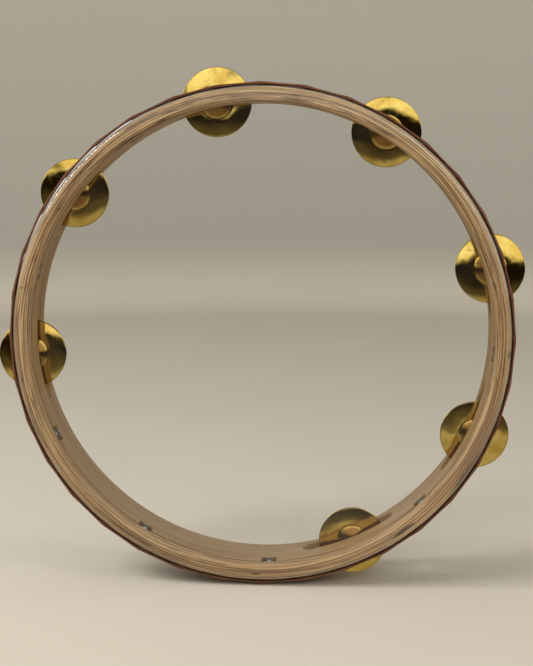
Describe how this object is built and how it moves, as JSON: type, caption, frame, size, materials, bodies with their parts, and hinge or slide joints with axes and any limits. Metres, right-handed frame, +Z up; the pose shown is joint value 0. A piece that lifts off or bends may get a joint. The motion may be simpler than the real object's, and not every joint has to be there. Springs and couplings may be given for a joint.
{
  "type": "tambourine",
  "caption": "Tuneable tambourine: bent wood hoop with pairs of loose brass jingles in slots, a wood tuning ring raised by hex jack bolts, and a clear film head.",
  "frame": {"origin": "centre of the head's playing face, on the hoop's axis", "axes": "+Y along the hoop's axis from the head to the open rear rim, so the head faces -Y; +Z up, with the hoop standing on its rim and the blank grip at the lower left as seen from the front"},
  "size_m": [0.3472, 0.048, 0.3361],
  "materials": {
    "shell_wood": "satin",
    "ring_wood": "satin",
    "clear_film": "clear gloss",
    "band_leather": "satin",
    "jingle_brass": "polished, aged",
    "bolt_steel": "zinc plated",
    "insert_steel": "zinc plated",
    "pin_steel": "drawn"
  },
  "bodies": {
    "frame": {"shell": "shell_wood", "film_skirt": "clear_film", "edge_band": "band_leather", "bolt_inserts": "insert_steel", "jingle_pin_1": "pin_steel", "jingle_pin_2": "pin_steel", "jingle_pin_3": "pin_steel", "jingle_pin_4": "pin_steel", "jingle_pin_5": "pin_steel", "jingle_pin_6": "pin_steel", "jingle_pin_7": "pin_steel"},
    "tuning_ring": {"tuning_ring": "ring_wood", "head_film": "clear_film", "film_edge": "clear_film"},
    "tuning_bolt_1": {"tuning_bolt_1": "bolt_steel"},
    "tuning_bolt_2": {"tuning_bolt_2": "bolt_steel"},
    "tuning_bolt_3": {"tuning_bolt_3": "bolt_steel"},
    "tuning_bolt_4": {"tuning_bolt_4": "bolt_steel"},
    "tuning_bolt_5": {"tuning_bolt_5": "bolt_steel"},
    "tuning_bolt_6": {"tuning_bolt_6": "bolt_steel"},
    "tuning_bolt_7": {"tuning_bolt_7": "bolt_steel"},
    "tuning_bolt_8": {"tuning_bolt_8": "bolt_steel"},
    "tuning_bolt_9": {"tuning_bolt_9": "bolt_steel"},
    "jingle_front_1": {"jingle_front_1": "jingle_brass"},
    "jingle_rear_1": {"jingle_rear_1": "jingle_brass"},
    "jingle_front_2": {"jingle_front_2": "jingle_brass"},
    "jingle_rear_2": {"jingle_rear_2": "jingle_brass"},
    "jingle_front_3": {"jingle_front_3": "jingle_brass"},
    "jingle_rear_3": {"jingle_rear_3": "jingle_brass"},
    "jingle_front_4": {"jingle_front_4": "jingle_brass"},
    "jingle_rear_4": {"jingle_rear_4": "jingle_brass"},
    "jingle_front_5": {"jingle_front_5": "jingle_brass"},
    "jingle_rear_5": {"jingle_rear_5": "jingle_brass"},
    "jingle_front_6": {"jingle_front_6": "jingle_brass"},
    "jingle_rear_6": {"jingle_rear_6": "jingle_brass"},
    "jingle_front_7": {"jingle_front_7": "jingle_brass"},
    "jingle_rear_7": {"jingle_rear_7": "jingle_brass"}
  },
  "joints": [
    {"name": "tuning_ring_slide", "type": "slide", "parent": "frame", "child": "tuning_ring", "axis": [0, -1, 0], "range_m": [-0.001, 0.0015]},
    {"name": "tuning_bolt_1_turn", "type": "hinge", "parent": "tuning_ring", "child": "tuning_bolt_1", "pos_m": [-0.13868, 0.011, -0.06764], "axis": [0, -1, 0], "range_deg": [-451, 676]},
    {"name": "tuning_bolt_2_turn", "type": "hinge", "parent": "tuning_ring", "child": "tuning_bolt_2", "pos_m": [-0.14832, 0.011, 0.04253], "axis": [0, -1, 0], "range_deg": [-451, 676]},
    {"name": "tuning_bolt_3_turn", "type": "hinge", "parent": "tuning_ring", "child": "tuning_bolt_3", "pos_m": [-0.08177, 0.011, 0.13085], "axis": [0, -1, 0], "range_deg": [-451, 676]},
    {"name": "tuning_bolt_4_turn", "type": "hinge", "parent": "tuning_ring", "child": "tuning_bolt_4", "pos_m": [0.02679, 0.011, 0.15196], "axis": [0, -1, 0], "range_deg": [-451, 676]},
    {"name": "tuning_bolt_5_turn", "type": "hinge", "parent": "tuning_ring", "child": "tuning_bolt_5", "pos_m": [0.12159, 0.011, 0.095], "axis": [0, -1, 0], "range_deg": [-451, 676]},
    {"name": "tuning_bolt_6_turn", "type": "hinge", "parent": "tuning_ring", "child": "tuning_bolt_6", "pos_m": [0.15392, 0.011, -0.01076], "axis": [0, -1, 0], "range_deg": [-451, 676]},
    {"name": "tuning_bolt_7_turn", "type": "hinge", "parent": "tuning_ring", "child": "tuning_bolt_7", "pos_m": [0.10719, 0.011, -0.11099], "axis": [0, -1, 0], "range_deg": [-451, 676]},
    {"name": "tuning_bolt_8_turn", "type": "hinge", "parent": "tuning_ring", "child": "tuning_bolt_8", "pos_m": [0.00539, 0.011, -0.15421], "axis": [0, -1, 0], "range_deg": [-451, 676]},
    {"name": "tuning_bolt_9_turn", "type": "hinge", "parent": "tuning_ring", "child": "tuning_bolt_9", "pos_m": [-0.07947, 0.011, -0.13226], "axis": [0, -1, 0], "range_deg": [-451, 676]},
    {"name": "jingle_front_1_slide", "type": "slide", "parent": "frame", "child": "jingle_front_1", "axis": [0, 1, 0], "range_m": [-0.0018, 0.00045]},
    {"name": "jingle_rear_1_slide", "type": "slide", "parent": "frame", "child": "jingle_rear_1", "axis": [0, 1, 0], "range_m": [-0.00045, 0.0018]},
    {"name": "jingle_front_2_slide", "type": "slide", "parent": "frame", "child": "jingle_front_2", "axis": [0, 1, 0], "range_m": [-0.0018, 0.00045]},
    {"name": "jingle_rear_2_slide", "type": "slide", "parent": "frame", "child": "jingle_rear_2", "axis": [0, 1, 0], "range_m": [-0.00045, 0.0018]},
    {"name": "jingle_front_3_slide", "type": "slide", "parent": "frame", "child": "jingle_front_3", "axis": [0, 1, 0], "range_m": [-0.0018, 0.00045]},
    {"name": "jingle_rear_3_slide", "type": "slide", "parent": "frame", "child": "jingle_rear_3", "axis": [0, 1, 0], "range_m": [-0.00045, 0.0018]},
    {"name": "jingle_front_4_slide", "type": "slide", "parent": "frame", "child": "jingle_front_4", "axis": [0, 1, 0], "range_m": [-0.0018, 0.00045]},
    {"name": "jingle_rear_4_slide", "type": "slide", "parent": "frame", "child": "jingle_rear_4", "axis": [0, 1, 0], "range_m": [-0.00045, 0.0018]},
    {"name": "jingle_front_5_slide", "type": "slide", "parent": "frame", "child": "jingle_front_5", "axis": [0, 1, 0], "range_m": [-0.0018, 0.00045]},
    {"name": "jingle_rear_5_slide", "type": "slide", "parent": "frame", "child": "jingle_rear_5", "axis": [0, 1, 0], "range_m": [-0.00045, 0.0018]},
    {"name": "jingle_front_6_slide", "type": "slide", "parent": "frame", "child": "jingle_front_6", "axis": [0, 1, 0], "range_m": [-0.0018, 0.00045]},
    {"name": "jingle_rear_6_slide", "type": "slide", "parent": "frame", "child": "jingle_rear_6", "axis": [0, 1, 0], "range_m": [-0.00045, 0.0018]},
    {"name": "jingle_front_7_slide", "type": "slide", "parent": "frame", "child": "jingle_front_7", "axis": [0, 1, 0], "range_m": [-0.0018, 0.00045]},
    {"name": "jingle_rear_7_slide", "type": "slide", "parent": "frame", "child": "jingle_rear_7", "axis": [0, 1, 0], "range_m": [-0.00045, 0.0018]}
  ],
  "couplings": [
    {"joint": "tuning_bolt_1_turn", "follows": "tuning_ring_slide", "rad_per_m": 7854},
    {"joint": "tuning_bolt_2_turn", "follows": "tuning_ring_slide", "rad_per_m": 7854},
    {"joint": "tuning_bolt_3_turn", "follows": "tuning_ring_slide", "rad_per_m": 7854},
    {"joint": "tuning_bolt_4_turn", "follows": "tuning_ring_slide", "rad_per_m": 7854},
    {"joint": "tuning_bolt_5_turn", "follows": "tuning_ring_slide", "rad_per_m": 7854},
    {"joint": "tuning_bolt_6_turn", "follows": "tuning_ring_slide", "rad_per_m": 7854},
    {"joint": "tuning_bolt_7_turn", "follows": "tuning_ring_slide", "rad_per_m": 7854},
    {"joint": "tuning_bolt_8_turn", "follows": "tuning_ring_slide", "rad_per_m": 7854},
    {"joint": "tuning_bolt_9_turn", "follows": "tuning_ring_slide", "rad_per_m": 7854}
  ]
}
